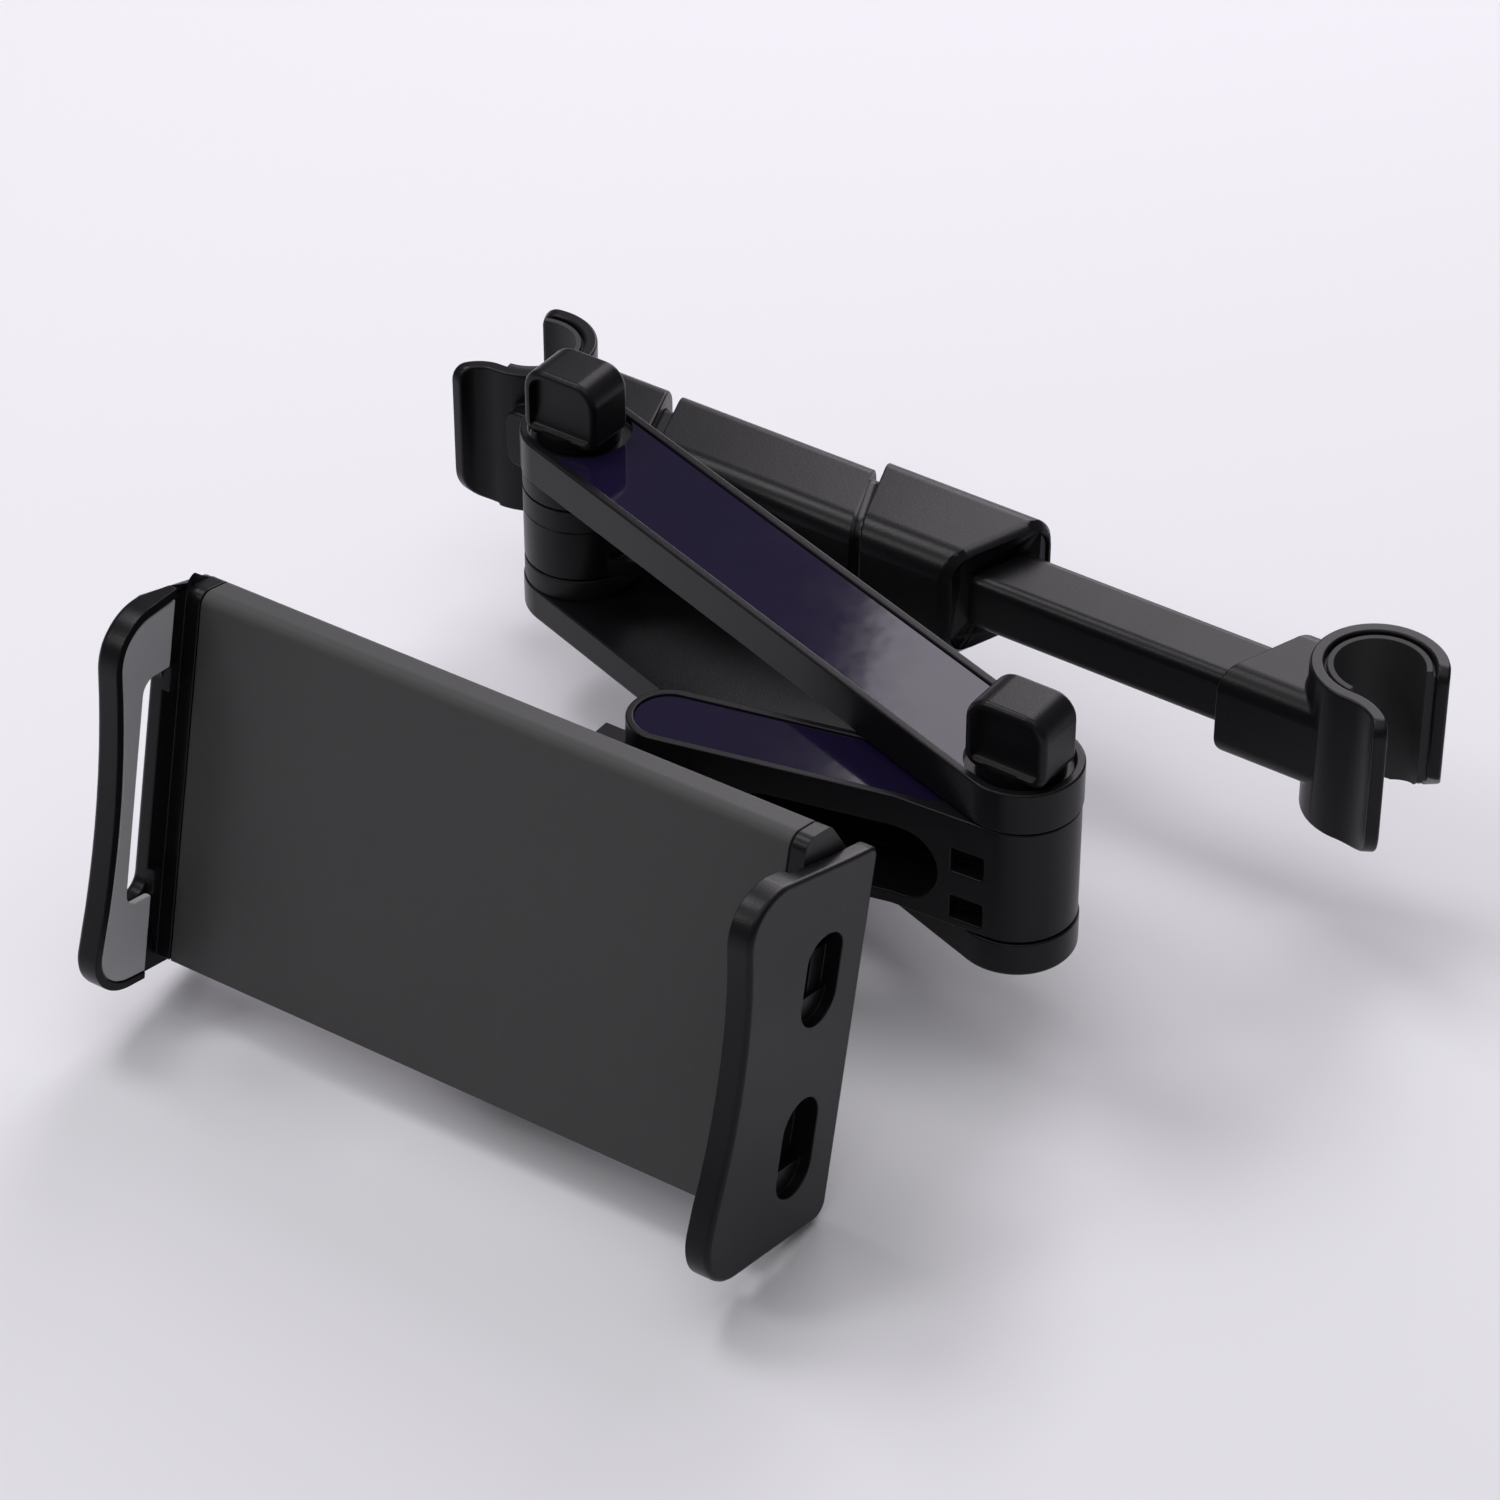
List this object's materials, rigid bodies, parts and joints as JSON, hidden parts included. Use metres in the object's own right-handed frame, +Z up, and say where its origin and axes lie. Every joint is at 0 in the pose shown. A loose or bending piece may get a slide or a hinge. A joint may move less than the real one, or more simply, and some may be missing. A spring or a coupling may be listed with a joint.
{
  "type": "headrest phone holder",
  "caption": "Phone holder for a car headrest: sprung telescopic bar with post hooks, folding arm with wing knobs, tilting and swivelling clamp with sprung jaws.",
  "frame": {"origin": "on the left headrest post's axis, at the bar's mid height", "axes": "+X along the bar to the right post, +Y back to the seat, +Z up along the posts"},
  "size_m": [0.1762, 0.1485, 0.0712],
  "materials": {
    "black_plastic": "satin black moulded plastic",
    "clamp_plastic": "matte dark grey moulded plastic",
    "cap_plastic": "matte dark grey plastic",
    "purple_inlay": "glossy deep purple mirror-like inlay",
    "liner_rubber": "soft black rubber",
    "pad_rubber": "soft mid grey rubber",
    "friction_plastic": "matte dark plastic friction ring",
    "steel": "bright steel"
  },
  "bodies": {
    "bar": {"left_hook": "black_plastic", "left_hook_liner": "liner_rubber", "main_tube": "black_plastic", "tube_collar": "black_plastic", "collar_cap": "cap_plastic", "bar_spring": "steel", "bar_bracket": "black_plastic", "bracket_ring": "friction_plastic", "bracket_screws": "steel"},
    "slider": {"inner_tube": "black_plastic", "inner_tube_plug": "cap_plastic", "right_hook": "black_plastic", "right_hook_liner": "liner_rubber"},
    "arm": {"upper_arm_plate": "black_plastic", "upper_arm_inlay": "purple_inlay", "lower_arm_plate": "black_plastic", "upper_friction_disc": "friction_plastic", "lower_friction_ring": "friction_plastic", "bar_pivot_bolt": "steel", "reach_pivot_bolt": "steel"},
    "bar_pivot_knob": {"bar_knob": "black_plastic"},
    "reach_pivot_knob": {"reach_knob": "black_plastic"},
    "reach": {"reach_link": "black_plastic", "reach_inlay": "purple_inlay", "tilt_pin": "steel"},
    "tilt_head": {"tilt_knuckle": "black_plastic", "swivel_washer": "steel", "swivel_screw": "steel"},
    "clamp": {"clamp_front": "clamp_plastic", "clamp_back_cover": "black_plastic", "cover_screws": "steel", "left_jaw_spring": "steel", "right_jaw_spring": "steel"},
    "left_jaw_slider": {"left_jaw": "black_plastic", "left_jaw_pad": "pad_rubber"},
    "right_jaw_slider": {"right_jaw": "black_plastic", "right_jaw_pad": "pad_rubber"}
  },
  "joints": [
    {"name": "bar_slide", "type": "slide", "parent": "bar", "child": "slider", "axis": [1, 0, 0], "range_m": [-0.034, 0], "stiffness_N_per_m": 300, "springref_m": 0.02, "deforming": ["bar_spring"]},
    {"name": "arm_swing", "type": "hinge", "parent": "bar", "child": "arm", "pos_m": [0.0242, -0.0203, 0], "axis": [0, 0, 1], "range_deg": [-120, 15]},
    {"name": "bar_knob_turn", "type": "hinge", "parent": "arm", "child": "bar_pivot_knob", "pos_m": [0.0242, -0.0203, 0.02], "axis": [0, 0, 1], "range_deg": [0, 270]},
    {"name": "reach_swing", "type": "hinge", "parent": "arm", "child": "reach", "pos_m": [0.12948, -0.05451, 0], "axis": [0, 0, 1], "range_deg": [-25, 90]},
    {"name": "reach_knob_turn", "type": "hinge", "parent": "arm", "child": "reach_pivot_knob", "pos_m": [0.12948, -0.05451, 0.02], "axis": [0, 0, 1], "range_deg": [0, 270]},
    {"name": "clamp_tilt", "type": "hinge", "parent": "reach", "child": "tilt_head", "pos_m": [0.07168, -0.08577, -0.0028], "axis": [0.9999, 0.014, 0], "range_deg": [-25, 30]},
    {"name": "clamp_swivel", "type": "hinge", "parent": "tilt_head", "child": "clamp", "pos_m": [0.07186, -0.09865, 0.0001], "axis": [-0.0136, 0.9754, -0.2198], "range_deg": [-90, 90]},
    {"name": "left_jaw_slide", "type": "slide", "parent": "clamp", "child": "left_jaw_slider", "axis": [-0.9999, -0.014, 0], "range_m": [0, 0.028], "stiffness_N_per_m": 120, "springref_m": -0.04, "deforming": ["left_jaw_spring"]},
    {"name": "right_jaw_slide", "type": "slide", "parent": "clamp", "child": "right_jaw_slider", "axis": [0.9999, 0.014, 0], "range_m": [0, 0.028], "stiffness_N_per_m": 120, "springref_m": -0.04, "deforming": ["right_jaw_spring"]}
  ]
}
